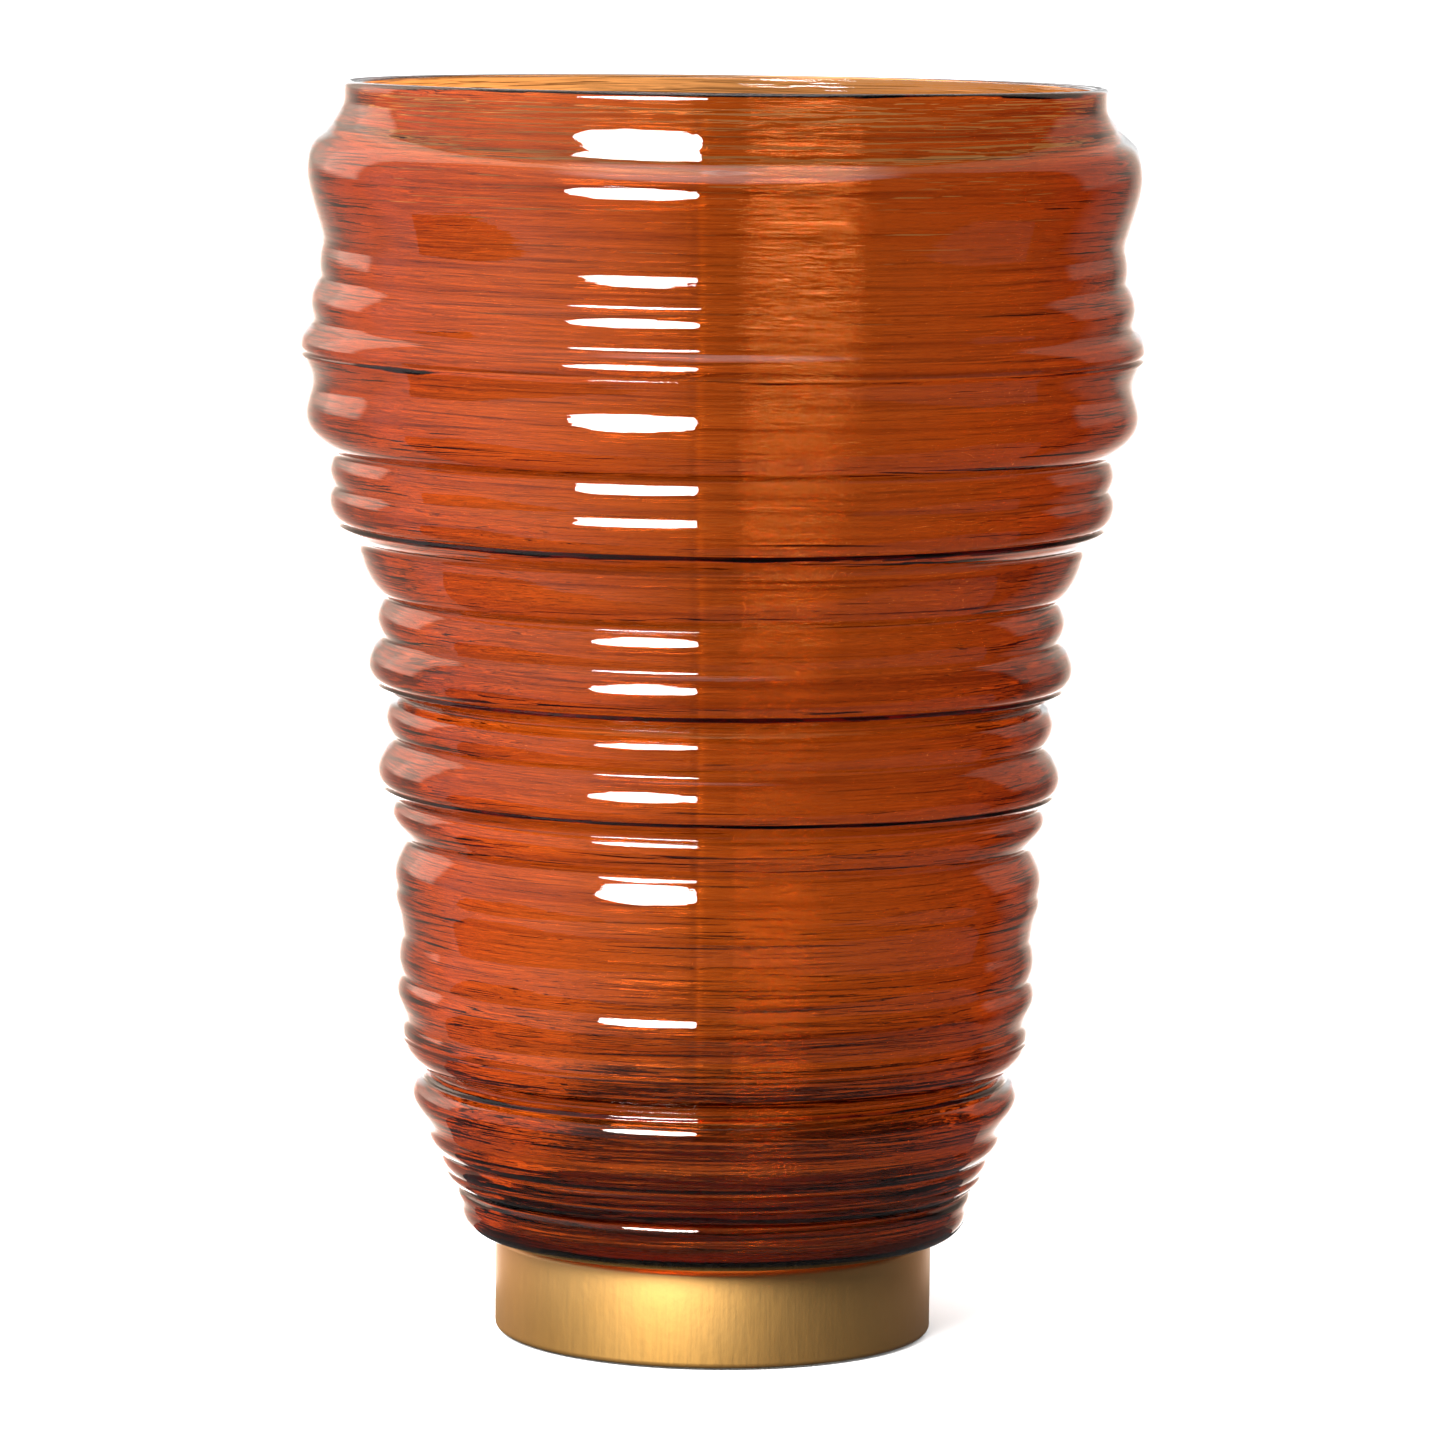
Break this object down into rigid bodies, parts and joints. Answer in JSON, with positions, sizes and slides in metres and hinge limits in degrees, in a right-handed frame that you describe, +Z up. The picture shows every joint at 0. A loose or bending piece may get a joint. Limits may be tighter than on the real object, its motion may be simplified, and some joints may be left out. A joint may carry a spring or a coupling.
{
  "type": "vase",
  "caption": "Ribbed amber glass vase with a wide mouth and a straight collar, bonded to a low brass-finish metal foot with a felt ring underneath.",
  "frame": {"origin": "centre of the felt ring's underside, where the vase stands on the table", "axes": "+Z up along the vase's own axis; X and Y are free, because every piece is round"},
  "size_m": [0.2019, 0.202, 0.3],
  "materials": {
    "amber_glass": "glossy, mould-blown, fine flow lines",
    "clear_adhesive": "clear set adhesive",
    "satin_brass": "satin, lightly brushed",
    "pale_felt": "thin pressed felt"
  },
  "bodies": {
    "root": {"glass_body": "amber_glass", "bond_ring": "clear_adhesive", "foot_shell": "satin_brass", "felt_ring": "pale_felt"}
  },
  "joints": []
}
